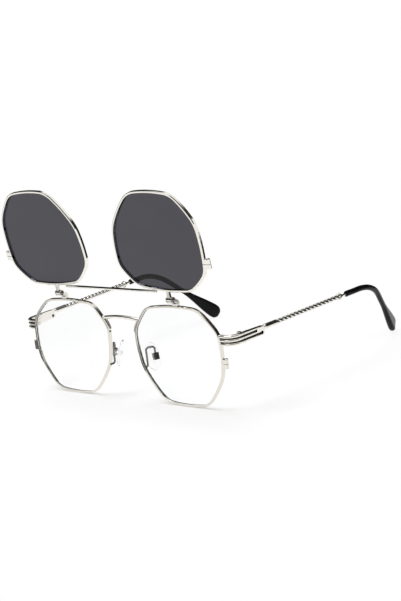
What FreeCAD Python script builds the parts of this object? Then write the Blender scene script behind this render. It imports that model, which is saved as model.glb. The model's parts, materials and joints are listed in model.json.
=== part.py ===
import FreeCAD
import Part
import math
import os

from FreeCAD import Placement, Rotation, Vector

# Metal glasses with a clear front and a tinted front that flips up over the brow.
# X runs across the face, Y runs back along the temples and Z is up.
# The glasses stand on the two rims and on the temple tips, with the tinted front up.
# Lengths are in millimetres and angles in degrees. Shares have no unit.

# Lens openings of the clear front
lens_width = 49.6
lens_height = 45.9
nose_gap = 19.6

# Outline of a lens: eight corners as shares of half its width and half its height,
# from the top corner on the temple side, over the top towards the nose
corner_shares = [
    (0.535, 0.980),
    (-0.665, 0.960),
    (-1.026, 0.464),
    (-0.930, -0.305),
    (-0.440, -0.966),
    (0.556, -0.958),
    (0.972, -0.325),
    (0.984, 0.514),
]
side_bow_share = 0.045
corner_round_share = 0.41
side_round_share = 0.55

# Eyewires and their lens groove
rim_width = 1.05
rim_depth = 2.0
rim_edge = 0.3
groove_depth = 0.5
groove_width = 1.1
lens_thickness = 1.6
lens_fit = 0.05

# Closing blocks that clamp each rim round its lens
lock_height = 2.0
lock_reach = 2.3
lock_depth_share = 0.9
lock_slit = 0.25
lock_place_share = -0.06
lock_screw_radius = 0.45
lock_head_radius = 0.8
lock_head_height = 0.4
screw_fit = 0.04

# Bridge with a solder foot along each rim
bridge_radius = 0.85
bridge_crest_rise = 0.9
bridge_foot_radius = 0.95
bridge_foot_proud = 0.1
bridge_foot_low_share = 0.55
bridge_foot_high_share = 0.72

# Nose pads, their pivot and their wire arms
pad_half_gap = 10.9
pad_set_back = 7.7
pad_drop = 4.0
pad_length = 13.6
pad_width = 7.6
pad_thickness = 2.0
pad_splay = 25.0
pad_lean = 15.0
pad_section_shares = [(0.0, 0.74), (0.14, 0.92), (0.35, 1.0), (0.65, 0.98), (0.86, 0.86), (1.0, 0.66)]
lug_reach = 1.5
lug_width = 1.4
lug_radius = 0.8
pad_box_length = 3.4
pad_box_wall = 0.5
pad_box_gap = 0.12
pad_box_depth = 2.1
pad_box_floor_gap = 0.4
pad_screw_radius = 0.4
pad_screw_head_radius = 0.65
pad_screw_head_height = 0.3
arm_radius = 0.5
arm_bend_radius = 1.4
arm_foot_drop = 7.6
arm_set_back = 3.0
arm_rise = 1.6
arm_loop_length = 3.7
arm_loop_spread = 2.2

# Ribbed end pieces
end_piece_height = 5.0
end_piece_thickness = 1.7
end_piece_level = 9.4
end_piece_reach = 6.4
end_piece_bend_radius = 4.8
end_piece_set_back = 7.0
rib_height = 1.4
rib_groove_depth = 0.5

# Temple hinges
hinge_barrel_radius = 1.15
hinge_clearance = 0.1
hinge_leaf_thickness = 0.7
hinge_leaf_length = 4.4
hinge_middle_height = 1.6
hinge_outer_height = 1.3
hinge_screw_radius = 0.55
hinge_screw_fit = 0.05
hinge_head_radius = 0.95
hinge_head_height = 0.4
temple_gap = 0.15

# Temples
temple_splay = 3.3
plate_length = 14.0
plate_end_height = 4.2
plate_end_radius = 0.9
plate_groove_length = 9.0
plate_hole_radius = 0.75
neck_length = 9.0
neck_radius = 1.25
neck_taper_length = 1.2
neck_rise = 1.0
twist_length = 48.0
twist_radius = 1.2
twist_lead = 5.7
twist_strand_radius = 0.82
twist_waist = 1.15
twist_waist_angle = 15.0
collar_length = 2.6
collar_radius = 1.75
collar_rim_length = 0.4
core_radius = 0.6
core_bare_length = 3.2
core_sunk_length = 7.0
core_fit = 0.04

# Temple tips
tip_start_height = 2.8
tip_start_thickness = 2.6
tip_paddle_height = 7.6
tip_paddle_thickness = 3.4
tip_paddle_length = 24.0
tip_straight_length = 22.2
tip_bend_radius = 29.0
tip_drop_angle = 43.5
tip_inward_angle = 23.8
tip_sections = 16
tip_end_sections = 4
tip_round_share = 0.46

# Tinted front, with an outline of its own
flip_corner_shares = [
    (0.546, 0.944),
    (-0.672, 0.880),
    (-1.017, 0.477),
    (-0.946, -0.299),
    (-0.409, -0.984),
    (0.569, -0.948),
    (0.969, -0.382),
    (0.948, 0.579),
]
flip_side_bow_share = 0.049
flip_corner_round_share = 0.43
flip_margin = 0.7
flip_outset = 2.2
flip_drop = 0.55
flip_rim_width = 1.0
flip_rim_depth = 1.8
flip_gap = 0.8
flip_open_angle = 171.0
flip_lock_place_share = 0.40
flip_bar_radius = 0.65
flip_bar_half_length = 29.4
flip_bar_sink = 0.35

# Flip hinges on top of the rims
flip_hinge_outset = 1.4
flip_hinge_forward = 3.2
flip_hinge_rise = 3.4
flip_barrel_radius = 1.5
flip_barrel_length = 1.6
flip_ear_thickness = 0.8
flip_ear_gap = 0.1
flip_arm_thickness = 1.5
flip_elbow_rise = 2.1
flip_elbow_radius = 1.6
flip_web_height = 0.9
flip_post_thickness = 1.2
flip_pin_radius = 0.6
flip_pin_fit = 0.05
flip_dome_radius = 1.25
flip_dome_height = 0.6

# Every cut runs past what it cuts by this much
overrun = 1.0

# Positions that follow from the sizes above
ACROSS = Vector(1, 0, 0)
BACK = Vector(0, 1, 0)
UP = Vector(0, 0, 1)
ORIGIN = Vector(0, 0, 0)
flip_width = lens_width + 2 * flip_margin
flip_height = lens_height + 2 * flip_margin
rim_centre = (lens_width + nose_gap) / 2
flip_centre = rim_centre + flip_outset
flip_plane = -(rim_depth / 2 + flip_gap + flip_rim_depth / 2)
rib_pitch = (end_piece_height - rib_height) / 2
rib_groove_level = rib_pitch / 2


def unit(vector):
    """A vector of the same direction and length one."""
    return Vector(vector).normalize()


def block(x0, x1, y0, y1, z0, z1):
    """A box between two corners."""
    return Part.makeBox(x1 - x0, y1 - y0, z1 - z0, Vector(x0, y0, z0))


def fused(shapes):
    """One solid from several that overlap."""
    return shapes[0].multiFuse(shapes[1:]).removeSplitter()


def corner_arc(before, corner, after, reach):
    """Start, middle, end, centre and radius of the arc that rounds a corner."""
    arriving = unit(corner - before)
    leaving = unit(after - corner)
    half_turn = arriving.getAngle(leaving) / 2
    radius = reach / math.tan(half_turn)
    inward = unit(leaving - arriving)
    centre = corner + inward * (radius / math.cos(half_turn))
    middle = centre - inward * radius
    return corner - arriving * reach, middle, corner + leaving * reach, centre, radius


def bent_wire(points, radius):
    """An open path of straight runs joined by arcs of one radius."""
    edges = []
    start = points[0]
    for before, corner, after in zip(points, points[1:], points[2:]):
        half_turn = (corner - before).getAngle(after - corner) / 2
        reach = radius * math.tan(half_turn)
        arc_start, middle, arc_end, _, _ = corner_arc(before, corner, after, reach)
        edges.append(Part.LineSegment(start, arc_start).toShape())
        edges.append(Part.Arc(arc_start, middle, arc_end).toShape())
        start = arc_end
    edges.append(Part.LineSegment(start, points[-1]).toShape())
    return Part.Wire(edges)


def rounded_octagon(shares, bow_share, round_share, width, height):
    """Arcs that round the eight corners and the eight bowed sides of a lens."""
    corners = [Vector(u * width / 2, 0, v * height / 2) for u, v in shares]
    points = []
    for corner, following in zip(corners, corners[1:] + corners[:1]):
        side = following - corner
        outward = Vector(side.z, 0, -side.x)
        points.append((corner, round_share))
        points.append(((corner + following) / 2 + outward * bow_share, side_round_share))
    arcs = []
    for index, (point, share) in enumerate(points):
        before = points[index - 1][0]
        after = points[(index + 1) % len(points)][0]
        reach = share * min((point - before).Length, (after - point).Length)
        arcs.append(corner_arc(before, point, after, reach))
    return arcs


def lens_outline():
    """Outline of a clear lens."""
    return rounded_octagon(corner_shares, side_bow_share, corner_round_share, lens_width, lens_height)


def flip_outline():
    """Outline of a tinted lens."""
    return rounded_octagon(
        flip_corner_shares, flip_side_bow_share, flip_corner_round_share, flip_width, flip_height,
    )


def outline_wire(arcs, offset, y):
    """The lens outline moved outwards by an offset, at one place along Y."""
    edges = []
    previous_end = None
    first_start = None
    for start, middle, end, centre, radius in arcs:
        grow = (radius + offset) / radius
        places = [centre + (point - centre) * grow + BACK * y for point in (start, middle, end)]
        if previous_end is None:
            first_start = places[0]
        else:
            edges.append(Part.LineSegment(previous_end, places[0]).toShape())
        edges.append(Part.Arc(*places).toShape())
        previous_end = places[2]
    edges.append(Part.LineSegment(previous_end, first_start).toShape())
    return Part.Wire(edges)


def outline_solid(arcs, bands):
    """A solid between lens outlines given as pairs of place along Y and offset."""
    return Part.makeLoft([outline_wire(arcs, offset, y) for y, offset in bands], True, True)


def rim_plug(arcs, width, depth):
    """The outer form of an eyewire, filled."""
    half = depth / 2
    return outline_solid(arcs, [
        (-half, width - rim_edge),
        (-half + rim_edge, width),
        (half - rim_edge, width),
        (half, width - rim_edge),
    ])


def rim_opening(arcs, depth):
    """What the lens opening and its groove take out of an eyewire."""
    half = depth / 2 + overrun
    return outline_solid(arcs, [
        (-half, 0),
        (-groove_width / 2, 0),
        (0, groove_depth),
        (groove_width / 2, 0),
        (half, 0),
    ])


def lens_solid(arcs):
    """A flat lens whose bevelled edge stands in the groove."""
    half = lens_thickness / 2
    return outline_solid(arcs, [
        (-half, -lens_fit),
        (-groove_width / 2, -lens_fit),
        (0, groove_depth - lens_fit),
        (groove_width / 2, -lens_fit),
        (half, -lens_fit),
    ])


def headed_screw(shaft_radius, shaft_length, head_radius, head_height):
    """A screw on the Z axis, with the underside of its head at zero."""
    shaft = Part.makeCylinder(shaft_radius, shaft_length, -UP * shaft_length)
    bevel = min(head_height, head_radius - shaft_radius) / 2
    head = Part.makeCylinder(head_radius, head_height - bevel)
    crown = Part.makeCone(head_radius, head_radius - bevel, bevel, UP * (head_height - bevel))
    return fused([shaft, head, crown])


def eyewire(arcs, width, depth, place_share, height, head_side):
    """Rim, lens, two closing blocks and their screw, about the lens centre."""
    plug = rim_plug(arcs, width, depth)
    level = place_share * height / 2
    lock_depth = lock_depth_share * depth
    outer = outline_wire(arcs, width, 0).BoundBox.XMax
    axis = Vector(outer + lock_reach - lock_depth / 2, 0, level)
    slit = block(0, outer + overrun, -depth, depth, level - lock_slit / 2, level + lock_slit / 2)
    rim = plug.cut(rim_opening(arcs, depth)).cut(slit)
    stack = lock_height + lock_slit / 2
    hole = Part.makeCylinder(lock_screw_radius + screw_fit, 2 * stack, axis - UP * stack)
    locks = []
    for base in (level + lock_slit / 2, level - stack):
        body = block(0, axis.x, -lock_depth / 2, lock_depth / 2, base, base + lock_height)
        nose = Part.makeCylinder(lock_depth / 2, lock_height, Vector(axis.x, 0, base))
        locks.append(fused([body, nose]).cut(hole).cut(plug))
    screw = headed_screw(lock_screw_radius, 2 * stack, lock_head_radius, lock_head_height)
    if head_side < 0:
        screw.rotate(ORIGIN, ACROSS, 180)
    screw.translate(axis + UP * (stack * head_side))
    return plug, {
        "rim": rim,
        "lens": lens_solid(arcs),
        "lock_upper": locks[0],
        "lock_lower": locks[1],
        "lock_screw": screw,
    }


def bridge_solid(arcs, plugs):
    """Arched bar between the rims, with a foot along each rim's upper nose side."""
    upper_side = arcs[3]
    nose_corner = arcs[4]

    def on_rim(arc, point):
        centre, radius = arc[3:]
        grow = (radius + rim_width + bridge_foot_proud) / radius
        return centre + (point - centre) * grow + ACROSS * rim_centre

    side_edge = Part.Arc(*[on_rim(upper_side, point) for point in upper_side[:3]]).toShape()
    corner_edge = Part.Arc(*[on_rim(nose_corner, point) for point in nose_corner[:3]]).toShape()
    side_start = side_edge.LastParameter * bridge_foot_high_share
    corner_end = corner_edge.LastParameter * bridge_foot_low_share
    foot_high = side_edge.valueAt(side_start)
    path = Part.Wire([
        side_edge.Curve.toShape(side_start, side_edge.LastParameter),
        Part.LineSegment(on_rim(upper_side, upper_side[2]), on_rim(nose_corner, nose_corner[0])).toShape(),
        corner_edge.Curve.toShape(corner_edge.FirstParameter, corner_end),
    ])
    foot_circle = Part.Circle(foot_high, side_edge.tangentAt(side_start), bridge_foot_radius)
    foot = path.makePipeShell([Part.Wire(foot_circle.toShape())], True, False)
    foot = fused([foot, Part.makeSphere(bridge_foot_radius, corner_edge.valueAt(corner_end))])
    knee = Part.makeSphere(bridge_foot_radius, foot_high)
    left = Vector(-foot_high.x, 0, foot_high.z)
    crest = Vector(0, 0, foot_high.z + bridge_crest_rise)
    arch = Part.Arc(left, crest, foot_high)
    section = Part.Wire(Part.Circle(left, arch.tangent(arch.FirstParameter)[0], bridge_radius).toShape())
    bar = Part.Wire(arch.toShape()).makePipeShell([section], True, False)
    return fused([bar, foot, knee, mirrored(foot), mirrored(knee)]).cut(plugs)


def end_piece_path():
    """Middle line of the right end piece, from inside the rim to the hinge gap."""
    corner_x = rim_centre + lens_width / 2 + rim_width + end_piece_reach
    turned = Vector(math.sin(math.radians(temple_splay)), math.cos(math.radians(temple_splay)), 0)
    level = UP * end_piece_level
    start = ACROSS * rim_centre + level
    corner = ACROSS * corner_x + level
    end = corner + turned * (end_piece_set_back / turned.y)
    return start, corner, end


def rib_gap(level, at):
    """Wire round the gap between the half-round ribs below and above a level."""
    half = rib_height / 2
    radius = (rib_groove_depth ** 2 + half ** 2) / (2 * rib_groove_depth)
    part_turn = math.asin(half / radius) / 2
    part_depth = radius * (1 - math.cos(part_turn))
    part_rise = radius * math.sin(part_turn)
    low = level - rib_pitch / 2
    high = level + rib_pitch / 2
    below = [at(0, low), at(part_depth, low + part_rise), at(rib_groove_depth, low + half)]
    above = [at(rib_groove_depth, high - half), at(part_depth, high - part_rise), at(0, high)]
    outside = [at(-overrun, high), at(-overrun, low)]
    return Part.Wire([
        Part.Arc(*below).toShape(),
        Part.LineSegment(below[2], above[0]).toShape(),
        Part.Arc(*above).toShape(),
        Part.LineSegment(above[2], outside[0]).toShape(),
        Part.LineSegment(outside[0], outside[1]).toShape(),
        Part.LineSegment(outside[1], below[0]).toShape(),
    ])


def end_piece_solid(plug):
    """Ribbed strip that leaves the rim sideways and turns back to the hinge."""
    start, corner, end = end_piece_path()
    path = bent_wire([start, corner, end], end_piece_bend_radius)
    half = end_piece_height / 2

    def at(depth, level):
        return start + BACK * (depth - end_piece_thickness / 2) + UP * level

    corners = ((0, -half), (end_piece_thickness, -half), (end_piece_thickness, half), (0, half), (0, -half))
    strip = Part.makePolygon([at(depth, level) for depth, level in corners])
    solid = path.makePipeShell([strip], True, False)
    for step in (-3, -1, 1, 3):
        solid = solid.cut(path.makePipeShell([rib_gap(step * rib_groove_level, at)], True, False))
    return solid.cut(plug)


def temple_placement():
    """Moves the temple's own frame, Y along the temple, to the right end piece."""
    return Placement(end_piece_path()[2], Rotation(UP, -temple_splay))


def hinge_axis_place():
    """Hinge axis in the temple's own frame."""
    inset = end_piece_thickness / 2 + hinge_clearance + hinge_barrel_radius
    return Vector(-inset, temple_gap / 2, 0)


def hinge_leaf(edge, y_sign, own_levels, other_levels):
    """One leaf of the temple hinge: a soldered plate that carries its own knuckles."""
    axis = hinge_axis_place()
    inner = -end_piece_thickness / 2
    half = hinge_middle_height / 2 + hinge_clearance + hinge_outer_height
    far = edge + y_sign * hinge_leaf_length
    leaf = block(inner - hinge_leaf_thickness, inner, min(edge, far), max(edge, far), -half, half)
    for low, high in other_levels:
        room = Part.makeCylinder(hinge_barrel_radius + hinge_clearance, high - low, axis + UP * low)
        leaf = leaf.cut(room)
    knuckles = []
    for low, high in own_levels:
        knuckles.append(Part.makeCylinder(hinge_barrel_radius, high - low, axis + UP * low))
    bore = Part.makeCylinder(hinge_screw_radius + hinge_screw_fit, 2 * half, axis - UP * half)
    return fused([leaf] + knuckles).cut(bore)


def hinge_pieces():
    """Front leaf, rear leaf and screw of the temple hinge, in the temple's own frame."""
    half = hinge_middle_height / 2
    inner = half + hinge_clearance
    outer = inner + hinge_outer_height
    past = outer + overrun
    front = hinge_leaf(0, -1, [(-outer, -inner), (inner, outer)], [(-inner, inner)])
    rear = hinge_leaf(temple_gap, 1, [(-half, half)], [(-past, -half), (half, past)])
    screw = headed_screw(hinge_screw_radius, 2 * outer, hinge_head_radius, hinge_head_height)
    screw.translate(hinge_axis_place() + UP * outer)
    return front, rear, screw


def temple_plate():
    """Ribbed plate behind the hinge, tapered, with a rounded end."""
    start_half = end_piece_height / 2
    end_half = plate_end_height / 2
    face = end_piece_thickness / 2
    outline = [
        Vector(-face, temple_gap, -start_half),
        Vector(-face, plate_length, -end_half),
        Vector(-face, plate_length, end_half),
        Vector(-face, temple_gap, start_half),
    ]
    low = corner_arc(outline[0], outline[1], outline[2], plate_end_radius)
    high = corner_arc(outline[1], outline[2], outline[3], plate_end_radius)
    edges = [
        Part.LineSegment(outline[0], low[0]).toShape(),
        Part.Arc(*low[:3]).toShape(),
        Part.LineSegment(low[2], high[0]).toShape(),
        Part.Arc(*high[:3]).toShape(),
        Part.LineSegment(high[2], outline[3]).toShape(),
        Part.LineSegment(outline[3], outline[0]).toShape(),
    ]
    plate = Part.Face(Part.Wire(edges)).extrude(ACROSS * end_piece_thickness)
    hole_y = plate_length - plate_end_radius - plate_hole_radius

    def at(depth, level):
        return Vector(face - depth, 0, level)

    whole = plate_length + overrun
    for step, length in ((-3, whole), (-1, hole_y), (1, plate_groove_length), (3, whole)):
        plate = plate.cut(Part.Face(rib_gap(step * rib_groove_level, at)).extrude(BACK * length))
    hole = Part.makeCylinder(
        plate_hole_radius, rib_groove_depth + overrun,
        Vector(face - rib_groove_depth, hole_y, -rib_groove_level), ACROSS,
    )
    return plate.cut(hole)


def rod(radius, y0, y1):
    """A round rod along the temple, at the level of its wire."""
    return Part.makeCylinder(radius, y1 - y0, Vector(0, y0, neck_rise), BACK)


def temple_neck():
    """Plain round neck that grows out of the end of the plate."""
    taper = Part.makeCone(
        end_piece_thickness / 2, neck_radius, neck_taper_length,
        Vector(0, plate_length, neck_rise), BACK,
    )
    return fused([taper, rod(neck_radius, plate_length + neck_taper_length, plate_length + neck_length)])


def twist_section(start):
    """Two round strands side by side, with a solder waist between them."""
    middle = Vector(0, start, neck_rise)
    spread = twist_radius - twist_strand_radius
    lean = math.radians(twist_waist_angle)
    joint_x = spread - twist_strand_radius * math.sin(lean)
    joint_z = twist_strand_radius * math.cos(lean)

    def at(x, z):
        return middle + ACROSS * x + UP * z

    return Part.Wire([
        Part.Arc(at(joint_x, -joint_z), at(twist_radius, 0), at(joint_x, joint_z)).toShape(),
        Part.Arc(at(joint_x, joint_z), at(0, twist_waist / 2), at(-joint_x, joint_z)).toShape(),
        Part.Arc(at(-joint_x, joint_z), at(-twist_radius, 0), at(-joint_x, -joint_z)).toShape(),
        Part.Arc(at(-joint_x, -joint_z), at(0, -twist_waist / 2), at(joint_x, -joint_z)).toShape(),
    ])


def temple_twist():
    """Two strands twisted together: their section turns as it runs along the temple."""
    start = plate_length + neck_length
    spine = Part.LineSegment(Vector(0, start, neck_rise), Vector(0, start + twist_length, neck_rise))
    guide = Part.makeHelix(twist_lead, twist_length, twist_radius)
    guide.rotate(ORIGIN, ACROSS, -90)
    guide.translate(Vector(0, start, neck_rise))
    shell = Part.BRepOffsetAPI.MakePipeShell(Part.Wire(spine.toShape()))
    shell.setAuxiliarySpine(Part.Wire(guide.Edges), True, 0)
    shell.add(twist_section(start))
    shell.build()
    shell.makeSolid()
    return shell.shape()


def temple_collar():
    """Flared ring behind the twist, narrowing to the bare core."""
    start = plate_length + neck_length + twist_length
    rim_end = start + collar_rim_length
    flare = Part.makeCone(
        collar_radius, core_radius, collar_length - collar_rim_length,
        Vector(0, rim_end, neck_rise), BACK,
    )
    return fused([rod(collar_radius, start, rim_end), flare])


def temple_core():
    """Core wire behind the collar, which runs on into the tip."""
    start = plate_length + neck_length + twist_length + collar_length
    return rod(core_radius, start, start + core_bare_length + core_sunk_length)


def tip_direction():
    """Direction of the tip behind its bend, in the temple's own frame."""
    drop = math.radians(tip_drop_angle)
    inward = math.radians(tip_inward_angle)
    return unit(Vector(-math.tan(inward) * math.cos(drop), math.cos(drop), -math.sin(drop)))


def temple_tip(floor):
    """Tip that bends down and inwards and swells into a paddle resting on the floor."""
    start = Vector(0, plate_length + neck_length + twist_length + collar_length + core_bare_length, neck_rise)
    corner = start + BACK * tip_straight_length
    away = tip_direction()
    paddle = tip_paddle_height / 2
    end = corner + away * ((corner.z - floor - paddle) / -away.z)
    path = bent_wire([start, corner, end], tip_bend_radius)
    total = path.Length
    growth = min(tip_paddle_length, total)

    def place(distance):
        runs = list(path.Edges)
        while len(runs) > 1 and distance > runs[0].Length:
            distance -= runs.pop(0).Length
        parameter = runs[0].getParameterByLength(min(distance, runs[0].Length))
        return runs[0].valueAt(parameter), unit(runs[0].tangentAt(parameter))

    def section(point, tangent, height, thickness):
        upright = unit(UP - tangent * UP.dot(tangent)) * (height / 2)
        sideways = unit(upright.cross(tangent)) * (thickness / 2)
        corners = [upright + sideways, upright - sideways, -upright - sideways, -upright + sideways]
        reach = tip_round_share * min(height, thickness)
        edges = []
        for index, corner in enumerate(corners):
            following = corners[(index + 1) % len(corners)]
            arc = corner_arc(corners[index - 1], corner, following, reach)
            after = corner_arc(corner, following, corners[index - 2], reach)
            edges.append(Part.Arc(*[point + spot for spot in arc[:3]]).toShape())
            edges.append(Part.LineSegment(point + arc[2], point + after[0]).toShape())
        return Part.Wire(edges)

    sections = []
    for step in range(tip_sections + 1):
        distance = total * step / tip_sections
        along = max(0, 1 - (total - distance) / growth)
        grown = along * along * (3 - 2 * along)
        height = tip_start_height + (tip_paddle_height - tip_start_height) * grown
        thickness = tip_start_thickness + (tip_paddle_thickness - tip_start_thickness) * grown
        sections.append(section(*place(distance), height, thickness))
    for step in range(1, tip_end_sections + 1):
        angle = math.pi / 2 * step / (tip_end_sections + 1)
        point = end + away * (paddle * math.sin(angle))
        shrink = math.cos(angle)
        sections.append(section(point, away, tip_paddle_height * shrink, tip_paddle_thickness * shrink))
    body = Part.makeLoft(sections, True, False)
    bore = rod(core_radius + core_fit, start.y - overrun, start.y + core_sunk_length + core_fit)
    return body.cut(bore)


def pad_placement():
    """Moves the pad's own frame, X outwards and Z along the pad, to its pivot."""
    turn = Rotation(UP, -pad_splay).multiply(Rotation(BACK, -pad_lean))
    middle = Vector(pad_half_gap, pad_set_back, -pad_drop)
    return Placement(middle + turn.multVec(ACROSS * (lug_reach + pad_thickness / 2)), turn)


def nose_pad():
    """Soft oval pad with the lug that its pivot screw passes through."""
    sections = []
    for depth_share, size_share in pad_section_shares:
        centre = -ACROSS * (lug_reach + pad_thickness * depth_share)
        oval = Part.Ellipse(
            centre + UP * (size_share * pad_length / 2),
            centre + BACK * (size_share * pad_width / 2),
            centre,
        )
        sections.append(Part.Wire(oval.toShape()))
    pad = Part.makeLoft(sections, True, True)
    sunk = lug_reach + pad_thickness / 2
    lug = block(-sunk, 0, -lug_width / 2, lug_width / 2, -lug_radius, lug_radius)
    eye = Part.makeCylinder(lug_radius, lug_width, -BACK * (lug_width / 2), BACK)
    bore = Part.makeCylinder(pad_screw_radius + screw_fit, lug_width + 2 * overrun)
    bore.rotate(ORIGIN, ACROSS, -90)
    bore.translate(-BACK * (lug_width / 2 + overrun))
    return fused([pad, lug, eye]).cut(bore)


def pad_box():
    """Metal cup, open towards the nose, that holds the pad's lug."""
    inside = lug_width / 2 + pad_box_gap
    outside = inside + pad_box_wall
    floor = lug_radius + pad_box_floor_gap
    half = pad_box_length / 2
    body = block(floor + pad_box_wall - pad_box_depth, floor + pad_box_wall, -outside, outside, -half, half)
    room = half - pad_box_wall
    slot = block(floor - pad_box_depth - overrun, floor, -inside, inside, -room, room)
    past = outside + overrun
    bore = Part.makeCylinder(pad_screw_radius + screw_fit, 2 * past, -BACK * past, BACK)
    return body.cut(slot).cut(bore)


def pad_screw():
    """Pivot screw of a nose pad, in the pad's own frame."""
    outside = lug_width / 2 + pad_box_gap + pad_box_wall
    screw = headed_screw(pad_screw_radius, 2 * outside, pad_screw_head_radius, pad_screw_head_height)
    screw.rotate(ORIGIN, ACROSS, 90)
    screw.translate(-BACK * outside)
    return screw


def pad_arm(plug, box):
    """Bent wire from the back of the rim up, over and down to the pad's cup."""
    bend = pad_placement()
    top_x = lug_radius + pad_box_floor_gap + pad_box_wall - pad_box_depth / 2
    top = bend.multVec(Vector(top_x, 0, (pad_box_length - pad_box_wall) / 2))
    nose_corner = Vector(corner_shares[3][0] * lens_width / 2, 0, corner_shares[3][1] * lens_height / 2)
    low_corner = Vector(corner_shares[4][0] * lens_width / 2, 0, corner_shares[4][1] * lens_height / 2)
    along = (-arm_foot_drop - nose_corner.z) / (low_corner.z - nose_corner.z)
    foot = nose_corner + (low_corner - nose_corner) * along + ACROSS * (rim_centre - rim_width)
    loop_x = rim_centre + nose_corner.x - arm_radius
    loop = Vector(arm_loop_spread, arm_loop_length, 0)
    rise = Vector(loop_x, arm_set_back, arm_rise)
    points = [foot, foot + BACK * arm_set_back, rise, rise + loop, top]
    path = bent_wire(points, arm_bend_radius)
    section = Part.Wire(Part.Circle(foot, BACK, arm_radius).toShape())
    wire = path.makePipeShell([section], True, False)
    return wire.cut([plug, box])


def flip_hinge_axis():
    """A point on the flip hinge's axis, above the right rim."""
    crest = outline_wire(lens_outline(), rim_width, 0).BoundBox.ZMax
    return Vector(rim_centre + flip_hinge_outset, -flip_hinge_forward, crest + flip_hinge_rise)


def flip_bracket(plug):
    """Two ears on a riser that stands on the rim and leans forward to the axis."""
    axis = flip_hinge_axis()
    crest = axis.z - flip_hinge_rise
    half_slot = flip_barrel_length / 2 + flip_ear_gap
    half = half_slot + flip_ear_thickness
    back = flip_arm_thickness / 2
    foot = Vector(axis.x, 0, crest - rim_width)
    elbow = Vector(axis.x, 0, crest + flip_elbow_rise)
    corners = [(-half, -back), (half, -back), (half, back), (-half, back), (-half, -back)]
    section = Part.makePolygon([foot + Vector(x, y, 0) for x, y in corners])
    strap = bent_wire([foot, elbow, axis], flip_elbow_radius).makePipeShell([section], True, False)
    eye = Part.makeCylinder(flip_barrel_radius, 2 * half, axis - ACROSS * half, ACROSS)
    web_top = crest + flip_web_height
    slot = block(
        axis.x - half_slot, axis.x + half_slot, axis.y - 2 * flip_barrel_radius, back + overrun,
        web_top, axis.z + 2 * flip_barrel_radius,
    )
    past = half + overrun
    bore = Part.makeCylinder(flip_pin_radius + flip_pin_fit, 2 * past, axis - ACROSS * past, ACROSS)
    return fused([strap, eye]).cut([slot, bore, plug])


def flip_pin():
    """Pivot pin of a flip hinge, domed at both ends."""
    axis = flip_hinge_axis()
    half = flip_barrel_length / 2 + flip_ear_gap + flip_ear_thickness
    pin = Part.makeCylinder(flip_pin_radius, 2 * half, axis - ACROSS * half, ACROSS)
    ball = (flip_dome_radius ** 2 + flip_dome_height ** 2) / (2 * flip_dome_height)
    domes = []
    for x_sign in (1, -1):
        sphere = Part.makeSphere(ball, axis + ACROSS * (x_sign * (half + flip_dome_height - ball)))
        reach = block(0, ball, -ball, ball, -ball, ball)
        if x_sign < 0:
            reach.rotate(ORIGIN, UP, 180)
        reach.translate(axis + ACROSS * (x_sign * half))
        domes.append(sphere.common(reach))
    return fused([pin] + domes)


def flip_knuckle(plug):
    """Knuckle of the tinted front and the post that carries its rim, shut."""
    axis = flip_hinge_axis()
    half = flip_barrel_length / 2
    barrel = Part.makeCylinder(flip_barrel_radius, flip_barrel_length, axis - ACROSS * half, ACROSS)
    middle = (axis.y + flip_plane) / 2
    low = plug.BoundBox.ZMax - flip_rim_width
    thick = flip_post_thickness / 2
    post = block(axis.x - half, axis.x + half, middle - thick, middle + thick, low, axis.z)
    past = half + overrun
    bore = Part.makeCylinder(flip_pin_radius + flip_pin_fit, 2 * past, axis - ACROSS * past, ACROSS)
    return fused([barrel, post]).cut([bore, plug])


def flip_bar(plugs):
    """Straight bar along the top of both tinted rims, shut."""
    level = plugs[0].BoundBox.ZMax + flip_bar_radius - flip_bar_sink
    start = Vector(-flip_bar_half_length, flip_plane, level)
    bar = Part.makeCylinder(flip_bar_radius, 2 * flip_bar_half_length, start, ACROSS)
    ends = [edge for edge in bar.Edges if isinstance(edge.Curve, Part.Circle)]
    return bar.makeChamfer(flip_bar_radius / 2, ends).cut(plugs)


def mirrored(shape):
    """The left copy of a right piece."""
    return shape.mirror(ORIGIN, ACROSS)


def add_pair(parts, name, shape):
    """Store a right piece and its left copy."""
    parts[name + "_right"] = shape
    parts[name + "_left"] = mirrored(shape)


def add_group(parts, name, shape):
    """Store a right fastener and its left copy as one group."""
    parts[name] = Part.makeCompound([shape, mirrored(shape)])


def clear_front(parts):
    """Rims, lenses, bridge, nose pads, end pieces and the fixed half of each hinge."""
    arcs = lens_outline()
    plug, pieces = eyewire(arcs, rim_width, rim_depth, lock_place_share, lens_height, 1)
    for shape in [plug] + list(pieces.values()):
        shape.translate(ACROSS * rim_centre)
    add_pair(parts, "rim", pieces["rim"])
    add_pair(parts, "clear_lens", pieces["lens"])
    add_pair(parts, "rim_lock_upper", pieces["lock_upper"])
    add_pair(parts, "rim_lock_lower", pieces["lock_lower"])
    add_group(parts, "rim_lock_screws", pieces["lock_screw"])
    parts["bridge"] = bridge_solid(arcs, [plug, mirrored(plug)])
    at_pad = pad_placement().toMatrix()
    box = pad_box().transformed(at_pad)
    add_pair(parts, "nose_pad_arm", pad_arm(plug, box))
    add_pair(parts, "nose_pad_box", box)
    add_group(parts, "nose_pad_screws", pad_screw().transformed(at_pad))
    add_pair(parts, "nose_pad", nose_pad().transformed(at_pad))
    add_pair(parts, "end_piece", end_piece_solid(plug))
    add_pair(parts, "flip_bracket", flip_bracket(plug))
    add_group(parts, "flip_hinge_pins", flip_pin())


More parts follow.
